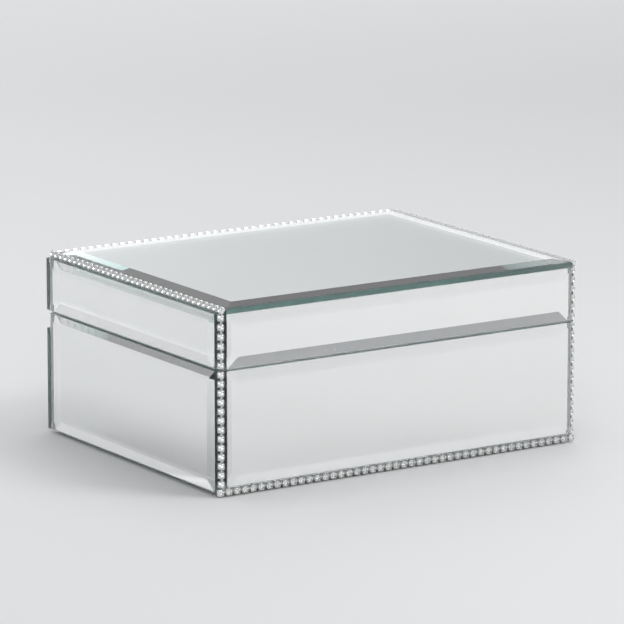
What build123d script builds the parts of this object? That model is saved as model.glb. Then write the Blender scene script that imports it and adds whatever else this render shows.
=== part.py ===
"""A mirror-clad trinket box with a stop-hinged lid and rhinestone cup chain along its edges.

A silver-painted fibreboard carcass is faced on every outer side with a bevelled 5 mm mirror pane.
The panes stop short of the carcass corners, which leaves notches that hold the cup chain: one
U-shaped run of chain frames the front face and goes on round the top.  The lid turns on two small
stop hinges in a bare strip of the back board.  The inside is lined with velvet.

Millimetres, +Z up, front face towards -Y, origin on the table under the middle of the box.
"""

from build123d import *
import math
import os

# ---- driving dimensions ---------------------------------------------------------------------
overall_width = 254.0  # across the side panes, X
overall_depth = 198.6  # across the front and back panes, Y
glass = 5.0  # pane thickness
side_bevel, side_drop = 7.0, 1.15  # the wall panes' bevels: their width and fall
top_bevel, top_drop = 8.6, 1.6  # the top pane's
step = 1.1  # how far the pane edges stand back from the carcass corner
board = 9.0  # wall board thickness
flat_board = 6.0  # thickness of the bottom board and the lid's top board
felt = 1.5
felt_inset = 5.0
side_pane_foot = 2.4  # lower edge of the side and back panes above the table
front_pane_foot = 5.9  # lower edge of the front pane, above its run of chain
rim_height = 74.4  # top of the base walls
lid_gap = 1.0  # seam between base and lid
lid_shell = 32.3  # height of the lid walls with the top board
fit_gap = 0.1  # between panes that nearly touch
hinge_strip = 9.7  # bare strip of the back board above the base's back pane

lining = 1.5  # velvet-covered card on the walls
floor_pad = 4.0
lid_pad = 3.5
lining_gap = 0.1
lining_reveal = 0.5  # how far the linings stop below the rim

cup_width = 4.0  # across the flats of one eight-sided cup
cup_wall = 0.22
cup_floor = 0.35
cup_height = 1.9
stone_radius = 1.72  # centre to flat at the girdle
girdle_low, girdle_high = 1.75, 1.9
table_radius, table_height = 1.0, 2.6
culet_radius, culet_height = 0.25, 0.37
claw_half_width = 0.4
link_half_width, link_thickness, link_play = 0.45, 0.3, 0.04
bottom_chain_gap = 0.8  # between the front pane and the chain below it
chain_seat = 2.2  # back of a cup from the notch's inner corner, along the diagonal

hinge_offset = 70.0  # hinge centres either side of the middle
hinge_width = 30.0
leaf = 0.8
knuckle_radius = 1.9
pin_radius, pin_bore = 0.8, 0.85
knuckle_gap = 0.1
stop_angle = 100.0  # where the hinge nibs meet the fixed leaves
nib_reach, nib_width, nib_lead = 2.8, 0.9, 7.0
screw_head, screw_shank, screw_length = 1.8, 0.95, 7.0
screw_spread = 9.0
bumper_radius, bumper_height = 3.5, 0.95

# ---- places worked out from them ------------------------------------------------------------
half_x = overall_width / 2 - glass  # carcass half width
half_y = overall_depth / 2 - glass  # carcass half depth
pane_x = half_x - step  # where the front, back-notch and top panes end
pane_y = half_y - step
edge_x = overall_width / 2 - side_drop  # plane of the side panes' outer arrises
edge_y = overall_depth / 2 - side_drop
board_base = felt + flat_board  # top of the bottom board
lid_foot = rim_height + lid_gap
lid_top = lid_foot + lid_shell  # underside of the top pane
overall_height = lid_top + glass
back_pane_top = rim_height - hinge_strip
hinge_y = half_y + knuckle_radius + 0.2
hinge_z = lid_foot - knuckle_radius
lid_back_foot = lid_foot + 0.4  # the lid's back pane clears the knuckles

os.makedirs("parts", exist_ok=True)
written = []


def save(part, name):
    """Labels a finished piece and writes it as its own node."""
    part.label = name
    export_step(part, f"parts/{name}.step")
    written.append(name)


def block(x, y, z):
    """A plain rectangular piece between two X, two Y and two Z values."""
    with BuildPart() as piece:
        with BuildSketch(Plane.XY.offset(z[0])):
            with Locations(((x[0] + x[1]) / 2, (y[0] + y[1]) / 2)):
                Rectangle(x[1] - x[0], y[1] - y[0])
        extrude(amount=z[1] - z[0])
    return piece.part


def board_with_pilots(x, y, z, plane, spots):
    """A board with the blind pilot holes of the hinge screws, drilled from a plane on its face."""
    with BuildPart() as piece:
        with BuildSketch(Plane.XY.offset(z[0])):
            with Locations(((x[0] + x[1]) / 2, (y[0] + y[1]) / 2)):
                Rectangle(x[1] - x[0], y[1] - y[0])
        extrude(amount=z[1] - z[0])
        with BuildSketch(plane):
            with Locations(*spots):
                Circle(screw_shank + 0.05)
        extrude(amount=-screw_length, mode=Mode.SUBTRACT)
    return piece.part


def bevelled_pane(back, width, height, bevel, drop):
    """A pane whose silvered face lies on the plane `back`: an edge band, then the bevels."""
    with BuildPart() as pane:
        with BuildSketch(back):
            Rectangle(width, height)
        extrude(amount=glass - drop)
        with BuildSketch(back.offset(glass - drop)):
            Rectangle(width, height)
        with BuildSketch(back.offset(glass)):
            Rectangle(width - 2 * bevel, height - 2 * bevel)
        loft()
    return pane.part


# ---- carcass boards -------------------------------------------------------------------------
hinge_xs = (-hinge_offset, hinge_offset)
screw_xs = [cx + s * screw_spread for cx in hinge_xs for s in (-1, 1)]
base_screw_z = back_pane_top + 4.1
lid_screw_y = half_y - board / 2
back_face = Plane(origin=(0, half_y, 0), x_dir=(-1, 0, 0), z_dir=(0, 1, 0))
lid_underside = Plane(origin=(0, 0, lid_foot), x_dir=(1, 0, 0), z_dir=(0, 0, -1))

inner_x, inner_y = half_x - board, half_y - board
save(block((-half_x, half_x), (-half_y, half_y), (felt, board_base)),
     "base_bottom_board")
save(block((-half_x, half_x), (-half_y, half_y), (lid_top - flat_board, lid_top)),
     "lid_top_board")
for half, low, high in (("base", board_base, rim_height), ("lid", lid_foot, lid_top - flat_board)):
    save(block((-half_x, half_x), (-half_y, -inner_y), (low, high)),
         f"{half}_front_board")
    save(block((-half_x, -inner_x), (-inner_y, inner_y), (low, high)),
         f"{half}_left_board")
    save(block((inner_x, half_x), (-inner_y, inner_y), (low, high)),
         f"{half}_right_board")
save(board_with_pilots((-half_x, half_x), (inner_y, half_y),
                       (board_base, rim_height), back_face,
                       [(-x, base_screw_z) for x in screw_xs]), "base_back_board")
save(board_with_pilots((-half_x, half_x), (inner_y, half_y),
                       (lid_foot, lid_top - flat_board), lid_underside,
                       [(x, -lid_screw_y) for x in screw_xs]), "lid_back_board")

# ---- mirror panes ---------------------------------------------------------------------------
side_front, side_back = -pane_y, half_y - 2 * fit_gap  # the side panes butt on the back pane
side_mid = (side_front + side_back) / 2
for half, front_foot, side_foot, back_foot, top, back_top in (
    ("base", front_pane_foot, side_pane_foot, side_pane_foot, rim_height, back_pane_top),
    ("lid", lid_foot, lid_foot, lid_back_foot, lid_top - fit_gap, lid_top - fit_gap),
):
    front = Plane(origin=(0, -half_y, (front_foot + top) / 2), x_dir=(1, 0, 0), z_dir=(0, -1, 0))
    save(bevelled_pane(front, 2 * pane_x, top - front_foot, side_bevel, side_drop),
         f"{half}_front_mirror")
    back = Plane(origin=(0, half_y, (back_foot + back_top) / 2), x_dir=(-1, 0, 0), z_dir=(0, 1, 0))
    save(bevelled_pane(back, 2 * edge_x, back_top - back_foot, side_bevel, side_drop),
         f"{half}_back_mirror")
    for side, s in (("left", -1), ("right", 1)):
        face = Plane(origin=(s * half_x, side_mid, (side_foot + top) / 2),
                     x_dir=(0, s, 0), z_dir=(s, 0, 0))
        save(bevelled_pane(face, side_back - side_front, top - side_foot, side_bevel, side_drop),
             f"{half}_{side}_mirror")
top_face = Plane(origin=(0, (pane_y - edge_y) / 2, lid_top), x_dir=(1, 0, 0), z_dir=(0, 0, 1))
save(bevelled_pane(top_face, 2 * pane_x, pane_y + edge_y, top_bevel, top_drop), "lid_top_mirror")

# ---- velvet linings, felt and bumpers -------------------------------------------------------
lined_x, lined_y = inner_x - lining, inner_y - lining
for half, low, high in (
    ("base", board_base, rim_height - lining_reveal),
    ("lid", lid_foot + lining_reveal, lid_top - flat_board),
):
    for side, s in (("front", -1), ("back", 1)):
        ys = sorted((s * lined_y, s * inner_y))
        save(block((-inner_x, inner_x), ys, (low, high)), f"{half}_{side}_lining")
    for side, s in (("left", -1), ("right", 1)):
        xs = sorted((s * lined_x, s * inner_x))
        save(block(xs, (-lined_y, lined_y), (low, high)), f"{half}_{side}_lining")
pad_x, pad_y = lined_x - lining_gap, lined_y - lining_gap
save(block((-pad_x, pad_x), (-pad_y, pad_y), (board_base, board_base + floor_pad)),
     "base_floor_pad")
save(block((-pad_x, pad_x), (-pad_y, pad_y),
           (lid_top - flat_board - lid_pad, lid_top - flat_board)), "lid_top_pad")
felt_x, felt_y = half_x - felt_inset, half_y - felt_inset
save(block((-felt_x, felt_x), (-felt_y, felt_y), (0, felt)), "underside_felt")

with BuildPart() as bumpers:
    with BuildSketch(Plane.XY.offset(rim_height)):
        with Locations(*[(s * (inner_x + board / 2), -(inner_y + board / 2)) for s in (-1, 1)]):
            Circle(bumper_radius)
    extrude(amount=bumper_height)
    chamfer(bumpers.faces().group_by(Axis.Z)[-1].edges(), 0.4)
save(bumpers.part, "rim_bumpers")

# ---- stop hinges ----------------------------------------------------------------------------
knuckle = hinge_width / 5
nib_turn = -nib_lead  # the nib points backwards, a little down, when the lid is shut


def knuckle_strip(centre, index):
    """Start and length of one of a hinge's five knuckles, counted from the left."""
    return centre - hinge_width / 2 + index * knuckle + knuckle_gap / 2, knuckle - knuckle_gap


def hinge_pieces(side, centre):
    """One stop hinge: the fixed leaf, the turning leaf with its nibs, and the pin."""
    left, right = centre - hinge_width / 2, centre + hinge_width / 2
    with BuildPart() as fixed:
        with BuildSketch(Plane.XY.offset(back_pane_top + 0.9)):
            with Locations((centre, half_y + leaf / 2)):
                Rectangle(hinge_width, leaf)
        extrude(amount=hinge_z - knuckle_radius - 0.05 - back_pane_top - 0.9)
        for index in (0, 2, 4):
            start, length = knuckle_strip(centre, index)
            with BuildSketch(Plane.YZ.offset(start)):
                with Locations((half_y + leaf / 2, hinge_z - knuckle_radius / 2 - 0.1)):
                    Rectangle(leaf, knuckle_radius + 0.2)
                with Locations((hinge_y, hinge_z)):
                    Circle(knuckle_radius)
                    Circle(pin_bore, mode=Mode.SUBTRACT)
            extrude(amount=length)
        with Locations(*[Plane(origin=(centre + s * screw_spread, half_y + leaf, base_screw_z),
                               x_dir=(1, 0, 0), z_dir=(0, 1, 0)) for s in (-1, 1)]):
            CounterSinkHole(screw_shank + 0.1, screw_head + 0.1, depth=leaf + 1)
    save(fixed.part, f"hinge_{side}_base_leaf")

    with BuildPart() as turning:
        with BuildSketch(Plane.XY.offset(lid_foot - leaf)):
            with Locations((centre, half_y - board / 2 + 0.1)):
                Rectangle(hinge_width, board - 0.2)
        extrude(amount=leaf)
        for index in (1, 3):
            start, length = knuckle_strip(centre, index)
            with BuildSketch(Plane.YZ.offset(start)):
                with Locations(((half_y + hinge_y) / 2, lid_foot - leaf / 2)):
                    Rectangle(hinge_y - half_y, leaf)
                with Locations((hinge_y, hinge_z)):
                    Circle(knuckle_radius)
                with Locations(Location((hinge_y, hinge_z), nib_turn)):
                    with Locations(((nib_reach + 1.5) / 2, 0)):
                        Rectangle(nib_reach - 1.5, nib_width)
                with Locations((hinge_y, hinge_z)):
                    Circle(pin_bore, mode=Mode.SUBTRACT)
            extrude(amount=length)
        with Locations(*[Plane(origin=(centre + s * screw_spread, lid_screw_y, lid_foot - leaf),
                               x_dir=(1, 0, 0), z_dir=(0, 0, -1)) for s in (-1, 1)]):
            CounterSinkHole(screw_shank + 0.1, screw_head + 0.1, depth=leaf + 1)
    save(turning.part, f"hinge_{side}_lid_leaf")

    with BuildPart() as pin:
        with BuildSketch(Plane.YZ.offset(left)):
            with Locations((hinge_y, hinge_z)):
                Circle(pin_radius)
        extrude(amount=right - left)
        for end, way in ((left, -1), (right, 1)):
            with BuildSketch(Plane.YZ.offset(end)):
                with Locations((hinge_y, hinge_z)):
                    Circle(pin_radius + 0.4)
            extrude(amount=way * 0.4)
    save(pin.part, f"hinge_{side}_pin")


for side, centre in zip(("left", "right"), hinge_xs):
    hinge_pieces(side, centre)


def screw_set(name, planes):
    """Countersunk wood screws whose heads lie flush in the given planes, driven against z_dir."""
    with BuildPart() as screws:
        with Locations(*planes):
            with BuildSketch(Plane.XZ, mode=Mode.PRIVATE) as outline:
                with BuildLine():
                    Polyline((0, -0.5), (0.4, -0.5), (0.4, -0.05), (screw_head, -0.05),
                             (screw_shank, -leaf),
                             (screw_shank, 1.2 - screw_length), (0, 0.4 - screw_length), (0, -0.5))
                make_face()
            solid = revolve(outline.sketch, axis=Axis.Z, mode=Mode.PRIVATE)
            add(solid)
    save(screws.part, name)


screw_set("base_leaf_screws", [Plane(origin=(x, half_y + leaf, base_screw_z), x_dir=(1, 0, 0),
                                     z_dir=(0, 1, 0)) for x in screw_xs])
screw_set("lid_leaf_screws", [Plane(origin=(x, lid_screw_y, lid_foot - leaf), x_dir=(1, 0, 0),
                                    z_dir=(0, 0, -1)) for x in screw_xs])

# ---- cup chain ------------------------------------------------------------------------------
def octagon(radius):
    """A regular octagon, `radius` from its centre to each flat, with flats across the chain."""
    RegularPolygon(radius, 8, major_radius=False, rotation=22.5)


with BuildPart() as stone:
    with BuildSketch(Plane.XY.offset(culet_height)):
        octagon(culet_radius)
    with BuildSketch(Plane.XY.offset(girdle_low)):
        octagon(stone_radius)
    loft()
    with BuildSketch(Plane.XY.offset(girdle_low)):
        octagon(stone_radius)
    extrude(amount=girdle_high - girdle_low)
    with BuildSketch(Plane.XY.offset(girdle_high)):
        octagon(stone_radius)
    with BuildSketch(Plane.XY.offset(table_height)):
        octagon(table_radius)
    loft()

pocket = cup_width / 2 - cup_wall
with BuildPart() as end_cup:
    with BuildSketch():
        octagon(cup_width / 2)
    extrude(amount=cup_height)
    with BuildSketch(Plane.XY.offset(cup_floor)):
        octagon(pocket)
    extrude(amount=cup_height, mode=Mode.SUBTRACT)
    for turn in (45, 135, 225, 315):
        radial = Plane.XZ.rotated((0, 0, turn))
        with BuildSketch(radial):
            with BuildLine():
                Polyline((pocket, 1.5), (cup_width / 2, 1.5), (cup_width / 2, 2.05),
                         (1.5, 2.55), (1.38, 2.36), (pocket, 2.0), close=True)
            make_face()
        extrude(amount=claw_half_width, both=True)


def linked_cup(pitch):
    """A cup with the flat link that reaches to the wall of the next one."""
    with BuildPart() as cup:
        add(end_cup.part)
        with BuildSketch():
            with Locations(((pitch - cup_width / 2 - link_play + pocket) / 2, 0)):
                Rectangle(pitch - cup_width / 2 - link_play - pocket, 2 * link_half_width)
        extrude(amount=link_thickness)
    return cup.part


def cup_chain(name, start, end, facing, count):
    """A run of set stones from `start` to `end`, the middles of its first and last cups."""
    first, last = Vector(*start), Vector(*end)
    pitch = (last - first).length / (count - 1)
    along = (last - first).normalized()
    seats = [Plane(origin=first + along * (i * pitch), x_dir=along, z_dir=facing)
             for i in range(count)]
    cup = linked_cup(pitch)
    save(Compound([cup.moved(seat.location) for seat in seats[:-1]]
                  + [end_cup.part.moved(seats[-1].location)]), f"{name}_cups")
    save(Compound([stone.part.moved(seat.location) for seat in seats]), f"{name}_stones")
    print(f"{name}: {count} stones, pitch {pitch:.2f}")


seat = chain_seat / math.sqrt(2)
cup_clear = cup_width / 2 + 0.1
base_low, base_high = front_pane_foot + cup_clear - 0.1, rim_height - cup_clear - 0.05
lid_low, lid_high = lid_foot + cup_clear + 0.1, lid_top - cup_clear - 0.1
for side, s in (("left", -1), ("right", 1)):
    corner = (s * (pane_x + seat), -(pane_y + seat))
    cup_chain(f"base_{side}_corner", (*corner, base_low), (*corner, base_high), (s, -1, 0), 13)
    cup_chain(f"lid_{side}_corner", (*corner, lid_low), (*corner, lid_high), (s, -1, 0), 6)
    cup_chain(f"top_{side}_chain", (s * (pane_x + seat), -edge_y + cup_clear, lid_top + seat),
              (s * (pane_x + seat), edge_y - cup_clear - 1.4, lid_top + seat), (s, 0, 1), 35)
back_end = pane_x - cup_clear
cup_chain("top_back_chain", (-back_end, pane_y + seat, lid_top + seat),
          (back_end, pane_y + seat, lid_top + seat), (0, 1, 1), 44)
front_end = edge_x - cup_width / 2 - 0.2
bottom_z = front_pane_foot - cup_clear - bottom_chain_gap
cup_chain("base_bottom_chain", (-front_end, -half_y - 0.02, bottom_z),
          (front_end, -half_y - 0.02, bottom_z), (0, -1, 0), 46)

print(len(written), "nodes; overall", overall_width, overall_depth, round(overall_height, 2))
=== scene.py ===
# %% [markdown]
# # A mirrored trinket box
# The box is a painted fibreboard carcass faced with bevelled mirror panes.  Where the panes stop short
# of the carcass corners, rhinestone cup chain fills the notch.  The lid turns on two stop hinges,
# and the inside is lined with velvet.  This lesson builds what the eye sees round a frame of
# solid parts that already have the right size and place.

import bpy
import numpy as np
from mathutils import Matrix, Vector


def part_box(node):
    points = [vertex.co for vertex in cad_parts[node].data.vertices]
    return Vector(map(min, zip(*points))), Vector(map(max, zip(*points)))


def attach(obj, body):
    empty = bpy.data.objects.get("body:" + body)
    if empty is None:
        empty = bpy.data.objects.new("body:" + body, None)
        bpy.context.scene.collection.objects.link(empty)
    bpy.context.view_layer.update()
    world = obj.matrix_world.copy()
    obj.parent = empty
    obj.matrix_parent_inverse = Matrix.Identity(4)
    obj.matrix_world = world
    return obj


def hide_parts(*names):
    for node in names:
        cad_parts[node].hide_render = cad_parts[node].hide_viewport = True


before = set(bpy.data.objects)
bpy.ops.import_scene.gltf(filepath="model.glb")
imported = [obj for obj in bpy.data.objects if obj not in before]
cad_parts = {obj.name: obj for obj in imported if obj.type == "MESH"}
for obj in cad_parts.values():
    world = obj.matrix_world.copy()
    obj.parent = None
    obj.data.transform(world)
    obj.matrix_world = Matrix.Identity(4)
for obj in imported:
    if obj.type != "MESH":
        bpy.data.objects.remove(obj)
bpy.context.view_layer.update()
mm = 0.001

# %% [markdown]
# ## Camera
# A product picture of a small box is taken from some way off with a long lens, so that its edges
# stay nearly parallel.  The camera stands 33 degrees to the left of the front and looks down by 12
# degrees.  An aim point near the middle of the box is easier to read than three rotation angles.

# %% Camera
scene = bpy.context.scene
eye = Vector((-1.5547, -2.3995, 0.6955))
aim = Vector((-0.0130, -0.0209, 0.08244))
camera = bpy.data.objects.new("studio_camera", bpy.data.cameras.new("studio_camera"))
camera.data.lens = 281.9
camera.data.clip_end = 40
camera.location = eye
camera.rotation_euler = (aim - eye).to_track_quat("-Z", "Y").to_euler()
scene.collection.objects.link(camera)
scene.camera = camera
scene.view_settings.view_transform = "Standard"
# Light that enters a pane at its edge bounces a dozen times before it comes out again.
scene.cycles.max_bounces = 24
scene.cycles.glossy_bounces = 16
scene.cycles.transmission_bounces = 24
print("camera distance in m:", round((aim - eye).length, 2))

# %% [markdown]
# ## Making meshes from arrays
# Every new piece is a surface on a grid: a table of points with one row for each step along one
# parameter and one column for each step along the other.  Neighbouring points make a four-sided
# face, so the faces of any such table follow from its shape alone.  That is why a single helper
# can weave the faces of panes, stones, cushions and felt alike.

# %% Mesh helpers
def woven_faces(rows, columns, wrap=False, start=0):
    """Four-sided faces between neighbouring points of a table that is stored row by row.

    Face (i, j) joins point i*columns + j to the next column and the next row; with wrap, the last
    column joins the first."""
    spans = columns if wrap else columns - 1
    i, j = np.meshgrid(np.arange(rows - 1), np.arange(spans), indexing="ij")
    k = (j + 1) % columns
    corners = (i * columns + j, i * columns + k, (i + 1) * columns + k, (i + 1) * columns + j)
    return (np.stack(corners, axis=-1).reshape(-1, 4) + start).tolist()


def make_piece(name, points, faces, material, body, smooth=False, stands_for=()):
    """A mesh object in its place, with its finish, riding on a body of the frame."""
    mesh = bpy.data.meshes.new(name)
    mesh.from_pydata(np.asarray(points, dtype=float).reshape(-1, 3).tolist(), [], faces)
    mesh.validate()
    mesh.polygons.foreach_set("use_smooth", np.full(len(mesh.polygons), smooth))
    mesh.update()
    piece = bpy.data.objects.new(name, mesh)
    scene.collection.objects.link(piece)
    mesh.materials.append(material)
    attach(piece, body)
    if stands_for:
        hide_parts(*stands_for)
    return piece


def corner_box(node):
    """The two corners of a node's box, as arrays in metres."""
    return tuple(np.array(corner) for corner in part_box(node))


# %% [markdown]
# ## Materials
# All finishes are made from nodes.  A small helper builds a Principled shader from plain values,
# and one node group holds what several finishes share: a slow change of tone, as paint and metal
# have.  A fine nap, as cloth has, is a noise bump in the same helper.  The group puts out a colour and
# a mask, never a shader.

# %% Node helpers and a shared group
def new_group(name, inputs, outputs):
    """A node group with named float or colour sockets; returns its tree and its two end nodes."""
    tree = bpy.data.node_groups.new(name, "ShaderNodeTree")
    for label, kind, value in inputs:
        socket = tree.interface.new_socket(label, in_out="INPUT", socket_type=kind)
        socket.default_value = value
    for label, kind in outputs:
        tree.interface.new_socket(label, in_out="OUTPUT", socket_type=kind)
    return tree, tree.nodes.new("NodeGroupInput"), tree.nodes.new("NodeGroupOutput")


def tone_group():
    """Mixes two colours by soft noise on object coordinates, and puts out the same noise."""
    tree, given, out = new_group(
        "slow_tone",
        [("Scale", "NodeSocketFloat", 60.0), ("Spread", "NodeSocketFloat", 0.5),
         ("First", "NodeSocketColor", (1, 1, 1, 1)), ("Second", "NodeSocketColor", (0, 0, 0, 1))],
        [("Color", "NodeSocketColor"), ("Mask", "NodeSocketFloat")],
    )
    place = tree.nodes.new("ShaderNodeTexCoord")
    noise = tree.nodes.new("ShaderNodeTexNoise")
    noise.inputs["Detail"].default_value = 4
    spread = tree.nodes.new("ShaderNodeMath")
    spread.operation = "MULTIPLY"
    mix = tree.nodes.new("ShaderNodeMix")
    mix.data_type = "RGBA"
    link = tree.links.new
    link(place.outputs["Object"], noise.inputs["Vector"])
    link(given.outputs["Scale"], noise.inputs["Scale"])
    link(noise.outputs["Fac"], spread.inputs[0])
    link(given.outputs["Spread"], spread.inputs[1])
    link(spread.outputs[0], mix.inputs["Factor"])
    link(given.outputs["First"], mix.inputs["A"])
    link(given.outputs["Second"], mix.inputs["B"])
    link(mix.outputs["Result"], out.inputs["Color"])
    link(noise.outputs["Fac"], out.inputs["Mask"])
    return tree


slow_tone = tone_group()


def finish_material(name, first, second, scale, spread=1.0, rough=(0.4, 0.5), bump=None, **plain):
    """A Principled material whose colour and roughness drift between two values.

    bump is (scale, strength, distance in metres) of a fine noise height; the other names are
    plain sockets of the shader."""
    material = bpy.data.materials.new(name)
    material.use_nodes = True
    nodes, link = material.node_tree.nodes, material.node_tree.links.new
    shader = nodes["Principled BSDF"]
    tone = nodes.new("ShaderNodeGroup")
    tone.node_tree = slow_tone
    tone.inputs["Scale"].default_value = scale
    tone.inputs["Spread"].default_value = spread
    tone.inputs["First"].default_value = (*first, 1)
    tone.inputs["Second"].default_value = (*second, 1)
    link(tone.outputs["Color"], shader.inputs["Base Color"])
    ramp = nodes.new("ShaderNodeMapRange")
    ramp.inputs["To Min"].default_value, ramp.inputs["To Max"].default_value = rough
    link(tone.outputs["Mask"], ramp.inputs["Value"])
    link(ramp.outputs["Result"], shader.inputs["Roughness"])
    if bump:
        place = nodes.new("ShaderNodeTexCoord")
        grit = nodes.new("ShaderNodeTexNoise")
        grit.inputs["Scale"].default_value = bump[0]
        relief = nodes.new("ShaderNodeBump")
        relief.inputs["Strength"].default_value = bump[1]
        relief.inputs["Distance"].default_value = bump[2]
        link(place.outputs["Object"], grit.inputs["Vector"])
        link(grit.outputs["Fac"], relief.inputs["Height"])
        link(relief.outputs["Normal"], shader.inputs["Normal"])
    for label, value in plain.items():
        shader.inputs[label.replace("_", " ")].default_value = value
    return material


# %% [markdown]
# ## Mirror glass
# A mirror is clear glass over a silver coat.  The bevels and the green edges only look right when
# light really goes through the glass to the silver and back, so the glass is a transmitting
# solid, and the silver is a thin bright sheet behind it.  Float glass takes a little more red than
# green out of the light for each metre, which a Volume Absorption node states: it can't be seen
# through 5 mm and turns the long way in from an edge teal.

# %% Glass and silver
def glass_material(name, tint, density, ground=0.0, **plain):
    """Clear glass: full transmission at the surface and a plain absorption inside.

    Faces marked as ground_edge are rougher by the ground value, as a pane's unpolished rim is."""
    material = finish_material(name, (1, 1, 1), (0.992, 0.996, 0.994), 25, rough=(0.0, 0.012),
                               IOR=1.52, Transmission_Weight=1.0, **plain)
    nodes, link = material.node_tree.nodes, material.node_tree.links.new
    if ground:
        polish = nodes["Principled BSDF"].inputs["Roughness"].links[0].from_socket
        mark = nodes.new("ShaderNodeAttribute")
        mark.attribute_name = "ground_edge"
        rougher = nodes.new("ShaderNodeMath")
        rougher.operation = "MULTIPLY_ADD"
        rougher.inputs[1].default_value = ground
        link(mark.outputs["Fac"], rougher.inputs[0])
        link(polish, rougher.inputs[2])
        link(rougher.outputs[0], nodes["Principled BSDF"].inputs["Roughness"])
    inside = nodes.new("ShaderNodeVolumeAbsorption")
    inside.inputs["Color"].default_value = (*tint, 1)
    inside.inputs["Density"].default_value = density
    link(inside.outputs["Volume"], nodes["Material Output"].inputs["Volume"])
    return material


float_glass = glass_material("float_glass", (0.12, 0.53, 0.46), 7.5, ground=0.42)
silvering = finish_material("silvering", (0.985, 0.955, 0.955), (0.965, 0.937, 0.938), 9,
                            rough=(0.0, 0.012), Metallic=1.0)
print("glass finishes:", float_glass.name, silvering.name)

# %% [markdown]
# ## Bevelled panes
# A bevelled pane is a profile carried round a rectangle: up the ground edge, over a small worn
# arris, up the bevel, and on to the flat face.  Each step of the profile is one ring of four mitred
# corners, so a pane has only a few faces, all of them flat, as polished glass is.

# %% Panes
glass_thickness = 5.0 * mm
side_bevel, side_drop = 7.0 * mm, 1.15 * mm
top_bevel, top_drop = 8.6 * mm, 1.6 * mm
silver_thickness = 0.06 * mm
arris = 0.22 * mm


def ring_solid(low, high, axis, outward, steps):
    """Rings of four corners for a slab that faces along one axis.

    Each step is (inset, depth): the ring is the slab's rectangle moved in by the inset on every
    side, at that depth above the slab's back plane."""
    across, up = [a for a in range(3) if a != axis]
    steps = np.array(steps)
    inset, depth = steps[:, :1], steps[:, 1:]
    rings = np.zeros((len(steps), 4, 3))
    sides = np.array([[0, 0], [1, 0], [1, 1], [0, 1]])
    rings[:, :, across] = np.where(sides[:, 0], high[across] - inset, low[across] + inset)
    rings[:, :, up] = np.where(sides[:, 1], high[up] - inset, low[up] + inset)
    back = low[axis] if outward > 0 else high[axis]
    rings[:, :, axis] = back + outward * depth
    faces = woven_faces(len(steps), 4, wrap=True)
    faces += [[3, 2, 1, 0], [4 * (len(steps) - 1) + k for k in range(4)]]
    turned = (np.cross(np.eye(3)[across], np.eye(3)[up])[axis] * outward) < 0
    if turned:
        faces = [face[::-1] for face in faces]
    return rings, faces


def mirror_pane(node, body, axis, outward, bevel, drop):
    """The glass and the silver of one pane, where the frame has its plain solid."""
    low, high = corner_box(node)
    name = node.replace("_mirror", "")
    edge = glass_thickness - drop
    glass_steps = [(arris, silver_thickness), (0, silver_thickness + arris), (0, edge - arris / 2),
                   (arris, edge + arris * drop / bevel), (bevel, glass_thickness)]
    points, faces = ring_solid(low, high, axis, outward, glass_steps)
    pane = make_piece(f"{name}_glass", points, faces, float_glass, body,
                      stands_for=[node])
    rim = np.arange(len(faces)) < 4 * (len(glass_steps) - 2)
    pane.data.attributes.new("ground_edge", "FLOAT", "FACE").data.foreach_set(
        "value", rim.astype(float))
    silver_steps = [(arris, 0), (arris, silver_thickness - 0.02 * mm)]
    points, faces = ring_solid(low, high, axis, outward, silver_steps)
    make_piece(f"{name}_silver", points, faces, silvering, body)


for half in ("base", "lid"):
    for side, axis, outward in (("front", 1, -1), ("back", 1, 1), ("left", 0, -1), ("right", 0, 1)):
        mirror_pane(f"{half}_{side}_mirror", half, axis, outward, side_bevel, side_drop)
mirror_pane("lid_top_mirror", "lid", 2, 1, top_bevel, top_drop)

# %% [markdown]
# ## Cup chain
# Rhinestone chain is a row of small pressed cups joined by flat links.  Each cup has four claws
# folded over a faceted stone with bright foil behind it.  There are about two hundred of them, all
# small, so a cup and a stone have a few dozen faces each: one template is worked out once and
# copied to every place along a run with a single array product.

# %% Chain templates
cup_width, cup_height, cup_wall = 4.0 * mm, 1.9 * mm, 0.22 * mm
girdle_radius = 1.72 * mm


def square_round(count, power):
    """Directions round a rounded square: a circle's points pushed out until the sum of |x| and
    |y|, each raised to the power, is one."""
    angle = (np.arange(count) + 0.5) * 2 * np.pi / count
    x, y = np.cos(angle), np.sin(angle)
    reach = (np.abs(x) ** power + np.abs(y) ** power) ** (-1 / power)
    return np.stack([x * reach, y * reach], axis=1)


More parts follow.
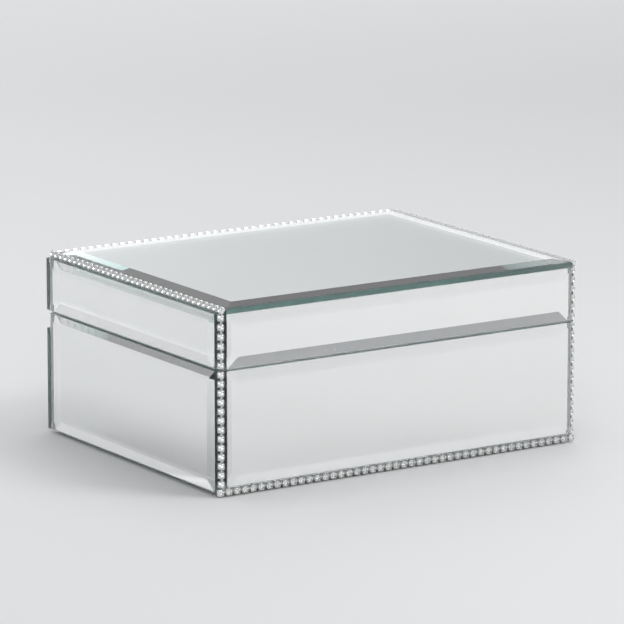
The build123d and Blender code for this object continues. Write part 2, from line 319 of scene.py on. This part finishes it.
def cup_template(link_length):
    """One cup: a rounded-square wall, four claws on its corners and a link to the next cup."""
    half = cup_width / 2
    around, squareness = 12, 7.0
    plan = square_round(around, squareness)
    levels = np.array([(half - 0.1 * mm, 0), (half, 0.3 * mm), (half, cup_height - 0.1 * mm),
                       (half - 0.12 * mm, cup_height), (half - cup_wall, cup_height - 0.1 * mm),
                       (half - cup_wall, 0.35 * mm)])
    wall = np.zeros((len(levels), around, 3))
    wall[:, :, :2] = plan * levels[:, None, :1]
    wall[:, :, 2] = levels[:, 1:]
    points = [wall.reshape(-1, 3)]
    faces = woven_faces(len(levels), around, wrap=True)
    pocket_floor = (len(levels) - 1) * around
    faces += [list(range(around - 1, -1, -1)), [pocket_floor + k for k in range(around)]]
    claw = np.array([(1.93, 1.2), (2.13, 1.2), (2.15, 1.98), (1.58, 2.53), (1.32, 2.5),
                     (1.8, 1.95)]) * mm
    for turn in np.radians((45, 135, 225, 315)):
        start = sum(len(p) for p in points)
        out = np.array([np.cos(turn), np.sin(turn), 0])
        side = np.array([-np.sin(turn), np.cos(turn), 0]) * 0.46 * mm
        spine = claw[:, :1] * out + claw[:, 1:] * np.array([0, 0, 1])
        taper = np.array([1, 1, 1, 0.7, 0.6, 1])[:, None]
        points.append(np.stack([spine - side * taper, spine + side * taper], axis=1).reshape(-1, 3))
        faces += [[start + 2 * k, start + 2 * k + 1, start + (2 * k + 3) % 12,
                   start + (2 * k + 2) % 12] for k in range(6)]
        faces += [[start + 2 * k for k in range(6)], [start + 2 * k + 1 for k in range(5, -1, -1)]]
    if link_length:
        start = sum(len(p) for p in points)
        x = np.array([half - cup_wall, half + link_length])
        y, z = np.array([-0.45, 0.45]) * mm, np.array([0, 0.3]) * mm
        points.append(np.array(np.meshgrid(x, y, z, indexing="ij")).reshape(3, -1).T)
        box = [[0, 1, 3, 2], [4, 6, 7, 5], [0, 4, 5, 1], [2, 3, 7, 6], [0, 2, 6, 4], [1, 5, 7, 3]]
        faces += (np.array(box) + start).tolist()
    return np.concatenate(points), faces


def stone_template():
    """One brilliant: table, eight star and eight kite facets, sixteen halves, girdle and point.

    Each ring of points stands at its own radius and height.  The crown ring is turned by half a
    step from the table, which makes the star facets triangles.  The last value counts the faces
    in front of the foil: all the ones behind the girdle are foiled."""
    half_step = np.pi / 8

    def ring(count, radius, height, turn):
        angle = np.arange(count) * 2 * np.pi / count + turn
        return np.stack([radius * np.cos(angle), radius * np.sin(angle),
                         np.full(count, height)], axis=1)

    table = ring(8, 0.97 * mm, 2.6 * mm, 0)
    crown = ring(8, 1.36 * mm, 2.32 * mm, half_step)
    upper = ring(16, girdle_radius, 1.9 * mm, 0)
    lower = ring(16, girdle_radius, 1.75 * mm, 0)
    pavilion = ring(8, 0.82 * mm, 0.95 * mm, 0)
    culet = ring(8, 0.25 * mm, 0.38 * mm, 0)
    k = np.arange(8)
    nxt = (k + 1) % 8
    star = np.stack([k, 8 + k, nxt], axis=1)
    kite = np.stack([8 + k, 16 + 2 * k + 1, 16 + (2 * k + 2) % 16, nxt], axis=1)
    upper_a = np.stack([8 + k, 16 + 2 * k, 16 + 2 * k + 1], axis=1)
    upper_b = np.stack([8 + k, k, 16 + 2 * k], axis=1)
    band = np.array(woven_faces(2, 16, wrap=True, start=16))[:, ::-1]
    low_a = np.stack([32 + 2 * k, 48 + k, 48 + nxt, 32 + (2 * k + 2) % 16], axis=1)
    low_b = np.stack([32 + 2 * k, 32 + (2 * k + 2) % 16, 32 + 2 * k + 1], axis=1)
    foot = np.array(woven_faces(2, 8, wrap=True, start=48))[:, ::-1]
    faces = [list(range(8))]
    for group in (star, kite, upper_a, upper_b, band):
        faces += group.tolist()
    foiled_from = len(faces)
    for group in (low_a, low_b, foot):
        faces += group.tolist()
    faces.append([56 + i for i in range(7, -1, -1)])
    return np.concatenate([table, crown, upper, lower, pavilion, culet]), faces, foiled_from


plated_metal = finish_material("plated_cups", (0.98, 0.98, 0.97), (0.93, 0.93, 0.92), 900,
                               rough=(0.4, 0.6), Metallic=1.0)
cut_glass = glass_material("cut_glass", (0.9, 0.93, 0.96), 8)
stone_foil = finish_material("stone_foil", (0.98, 0.98, 0.98), (0.94, 0.94, 0.94), 700,
                             rough=(0.05, 0.16), Metallic=1.0)


def copies(template, seats, along, across, facing):
    """The template's points at every seat: seat + x times along + y times across + z times facing,
    for all seats and points at once, with the faces renumbered to match."""
    points, faces = template
    placed = seats[:, None, :] + points @ np.stack([along, across, facing])
    moved = [[v + len(points) * k for v in face] for k in range(len(seats)) for face in faces]
    return placed.reshape(-1, 3), moved


def chain_run(name, body, count, along, facing):
    """One run of set stones inside the box of its plain nodes."""
    low, high = corner_box(f"{name}_cups")
    along, facing = np.array(along, dtype=float), np.array(facing, dtype=float)
    square_on = np.count_nonzero(facing) == 1
    half = cup_width / 2
    lean = 0 if square_on else half / np.sqrt(2)
    back = np.where(facing > 0, low + lean, np.where(facing < 0, high - lean, (low + high) / 2))
    first = np.where(along > 0, low + half, back)
    last = np.where(along > 0, high - half, back)
    pitch = np.linalg.norm(last - first) / (count - 1)
    seats = first + (last - first) * np.linspace(0, 1, count)[:, None]
    facing = facing / np.linalg.norm(facing)
    across = np.cross(facing, along)
    cups = copies(cup_template(pitch - cup_width - 0.04 * mm), seats[:-1], along, across, facing)
    last_cup = copies(cup_template(0), seats[-1:], along, across, facing)
    start = len(cups[0])
    points = np.concatenate([cups[0], last_cup[0]])
    faces = cups[1] + [[v + start for v in face] for face in last_cup[1]]
    make_piece(f"{name}_set_cups", points, faces, plated_metal, body,
               stands_for=[f"{name}_cups"])
    points, facets, foiled_from = stone_template()
    is_foiled = np.arange(len(facets)) >= foiled_from
    points, faces = copies((points, facets), seats, along, across, facing)
    stones = make_piece(f"{name}_set_stones", points, faces, cut_glass, body,
                        stands_for=[f"{name}_stones"])
    stones.data.materials.append(stone_foil)
    stones.data.polygons.foreach_set("material_index", np.tile(is_foiled, count).astype(int))
    print(f"{name}: {count} stones at {pitch / mm:.2f} mm")


# %% Chain runs
for side, s in (("left", -1), ("right", 1)):
    chain_run(f"base_{side}_corner", "base", 13, (0, 0, 1), (s, -1, 0))
    chain_run(f"lid_{side}_corner", "lid", 6, (0, 0, 1), (s, -1, 0))
    chain_run(f"top_{side}_chain", "lid", 35, (0, 1, 0), (s, 0, 1))
chain_run("top_back_chain", "lid", 44, (1, 0, 0), (0, 1, 1))
chain_run("base_bottom_chain", "base", 46, (1, 0, 0), (0, -1, 0))

# %% [markdown]
# ## Linings
# Inside, thin cards covered with velvet stand against the walls, and a soft pad fills the bottom
# and the lid.  A pad is a slab with a crowned face that pulls in towards its edges.

# %% Velvet and felt
velvet = finish_material("black_velvet", (0.012, 0.012, 0.015), (0.03, 0.03, 0.034), 300,
                         rough=(0.75, 0.95), bump=(2600, 0.5, 0.0004), Sheen_Weight=0.9,
                         Sheen_Roughness=0.35, Specular_IOR_Level=0.15)
# The underside felt is a real pad, and its black also paints the dark line of shade along the box's
# bottom edge.
felt_and_painted_shade = finish_material("black_felt_and_painted_shade", (0.015, 0.016, 0.016), (0.035, 0.035, 0.036), 500,
                             rough=(0.85, 1.0), bump=(1500, 0.7, 0.0006), Sheen_Weight=0.5,
                             Specular_IOR_Level=0.1)


def soft_slab(low, high, axis, outward, crown, corner, rows=41):
    """A slab whose face swells by the crown in the middle and rolls off at its edges.

    The height over the back plane is the thickness less the crown, plus the crown times the
    product of (1 - u^4) for both directions, where u runs from -1 to 1; near the outline the
    surface falls as a quarter circle of the corner radius."""
    across, up = [a for a in range(3) if a != axis]
    size = high - low
    roll = np.array([0, 0.06, 0.2, 0.45, 0.75, 1.0])
    u = np.linspace(0, 1, rows)

    def stations(length):
        inner = corner + u * (length - 2 * corner)
        return np.concatenate([corner * roll[:-1], inner, length - corner * roll[-2::-1]])

    a, b = stations(size[across]), stations(size[up])
    ga, gb = np.meshgrid(a, b, indexing="ij")
    edge = np.minimum(np.minimum(ga, size[across] - ga), np.minimum(gb, size[up] - gb))
    fall = corner - np.sqrt(np.clip(corner**2 - (corner - np.minimum(edge, corner)) ** 2, 0, None))
    ua, ub = 2 * ga / size[across] - 1, 2 * gb / size[up] - 1
    swell = crown * (1 - ua**4) * (1 - ub**4)
    height = size[axis] - crown + swell - fall
    table = np.zeros((2, *ga.shape, 3))
    table[:, :, :, across] = low[across] + ga
    table[:, :, :, up] = low[up] + gb
    back = low[axis] if outward > 0 else high[axis]
    table[0, :, :, axis] = back + outward * height
    table[1, :, :, axis] = back
    m, n = ga.shape
    top = np.array(woven_faces(m, n))[:, ::-1]
    bottom = top[:, ::-1] + m * n
    index = np.arange(m * n).reshape(m, n)
    rim = np.concatenate([index[:-1, 0], index[-1, :-1], index[:0:-1, -1], index[0, :0:-1]])
    wall = np.stack([rim, rim + m * n, np.roll(rim, -1) + m * n, np.roll(rim, -1)], axis=1)
    faces = top.tolist() + bottom.tolist() + wall.tolist()
    if np.cross(np.eye(3)[across], np.eye(3)[up])[axis] * outward < 0:
        faces = [face[::-1] for face in faces]
    return table, faces


def soft_piece(node, name, body, axis, outward, crown, corner, cloth):
    """A soft slab in its cloth, in the box of the frame's plain solid."""
    low, high = corner_box(node)
    points, faces = soft_slab(low, high, axis, outward, crown, corner)
    return make_piece(name, points, faces, cloth, body, smooth=True, stands_for=[node])


soft_piece("base_floor_pad", "base_floor_cushion", "base", 2, 1, 1.2 * mm, 1.5 * mm,
                     velvet)
soft_piece("lid_top_pad", "lid_cushion", "lid", 2, -1, 1.2 * mm, 1.4 * mm,
                     velvet)
for half in ("base", "lid"):
    for side, axis, inward in (("front", 1, 1), ("back", 1, -1), ("left", 0, 1), ("right", 0, -1)):
        soft_piece(f"{half}_{side}_lining", f"{half}_{side}_velvet_card", half, axis,
                             inward, 0.25 * mm, 0.6 * mm, velvet)
# The felt sheet under the box: a real pad whose black also paints the shade under the bottom edge.
felt_sheet = soft_piece("underside_felt", "underside_felt_sheet", "base", 2, -1, 0, 0.3 * mm,
                        felt_and_painted_shade)

# %% [markdown]
# ## Carcass, hinges and bumpers
# These keep the frame's own solids.  Fibreboard painted silver grey shows at the rim, in the seam and
# behind the hinges.  The hinges are nickel-plated steel.

# %% Finishes of the frame's own nodes
silver_paint = finish_material("silver_paint", (0.50, 0.51, 0.51), (0.42, 0.43, 0.43), 120,
                              rough=(0.38, 0.55), bump=(1800, 0.25, 0.0002))
nickel = finish_material("nickel_plate", (0.70, 0.69, 0.66), (0.66, 0.65, 0.625), 120,
                         rough=(0.24, 0.31), Metallic=1.0)
clear_rubber = finish_material("clear_rubber", (0.85, 0.87, 0.87), (0.75, 0.78, 0.78), 500,
                               rough=(0.15, 0.3), IOR=1.45, Transmission_Weight=0.6)


def dress(node, material, round_off=0.0):
    """Gives a frame node its finish, and if asked a small rounding on its sharp edges."""
    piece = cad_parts[node]
    piece.data.materials.clear()
    piece.data.materials.append(material)
    if round_off:
        weld = piece.modifiers.new("weld", "WELD")
        weld.merge_threshold = 1e-6
        bevel = piece.modifiers.new("bevel", "BEVEL")
        bevel.width = round_off
        bevel.segments = 2
        bevel.angle_limit = 0.6


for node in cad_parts:
    if node.endswith("_board"):
        dress(node, silver_paint, 0.4 * mm)
    elif node.startswith("hinge_") or node.endswith("_screws"):
        dress(node, nickel)
dress("rim_bumpers", clear_rubber)

# %% [markdown]
# ## Studio
# The box stands on a pale seamless sweep: a floor that curves up into a low wall behind.  Mirrors
# show their surroundings, so each lamp has a mirror to serve.  The one above lights the paper that
# the walls show, and the wash lights the wall that the top pane shows.  The large lamp behind gives
# the top pane's front bevel its grey, the one at the back left fills the left panes' lower bevels,
# and the one beside the camera makes the stones and the ground edges bright.

# %% Floor and lights
sweep_paint = finish_material("sweep_paint", (0.80, 0.80, 0.80), (0.79, 0.79, 0.79), 2,
                              rough=(0.9, 1.0), Specular_IOR_Level=0.2)


def sweep_surface(front, distance, radius, height, width):
    """A sheet of paper: flat floor, a quarter circle of the radius, then a straight wall.

    The width is measured from the middle to either side."""
    turn = np.linspace(0, np.pi / 2, 16)
    floor_y = np.concatenate([[front], np.linspace(front / 2, distance, 6)])
    y = np.concatenate([floor_y, distance + radius * np.sin(turn[1:]), [distance + radius]])
    z = np.concatenate([np.zeros(len(floor_y)), radius * (1 - np.cos(turn[1:])), [height]])
    x = np.array([-width, width])
    table = np.zeros((len(y), 2, 3))
    table[:, :, 0], table[:, :, 1], table[:, :, 2] = x, y[:, None], z[:, None]
    return table, [face[::-1] for face in woven_faces(len(y), 2)]


sweep_points, sweep_faces = sweep_surface(front=-1.1, distance=2.4, radius=0.5, height=0.95,
                                          width=3.5)
sweep_mesh = bpy.data.meshes.new("paper_sweep")
sweep_mesh.from_pydata(sweep_points.reshape(-1, 3).tolist(), [], sweep_faces)
sweep_mesh.polygons.foreach_set("use_smooth", np.full(len(sweep_faces), True))
sweep_mesh.materials.append(sweep_paint)
sweep = bpy.data.objects.new("paper_sweep", sweep_mesh)
scene.collection.objects.link(sweep)

world = bpy.data.worlds.new("studio")
world.use_nodes = True
world.node_tree.nodes["Background"].inputs["Color"].default_value = (0.41, 0.42, 0.435, 1)
world.node_tree.nodes["Background"].inputs["Strength"].default_value = 1.0
scene.world = world


def softbox(name, place, target, size, power):
    """A square lamp that faces its target; power in watts."""
    data = bpy.data.lights.new(name, "AREA")
    data.shape, data.size, data.energy = "SQUARE", size, power
    lamp = bpy.data.objects.new(name, data)
    lamp.location = place
    lamp.rotation_euler = (Vector(target) - Vector(place)).to_track_quat("-Z", "Y").to_euler()
    scene.collection.objects.link(lamp)
    return lamp


softbox("overhead", (0.1, -0.1, 1.9), (0.0, -0.1, 0), 1.5, 10.5)
softbox("backdrop_wash", (1.4, 1.6, 1.7), (2.3, 2.9, 0.85), 1.0, 11)
softbox("front_right", (0.6, -0.85, 1.2), (0.4, -0.5, 0), 0.5, 6.5)
softbox("behind_high", (1.43, 2.2, 1.9), (0, 0, 0.1), 2.2, 11.5)
softbox("back_left", (-1.1, 1.1, 1.6), (-1.6, 2.3, 0.2), 1.2, 23)
softbox("camera_side", (-1.9, -2.9, 1.5), (0, 0, 0.05), 1.6, 19)
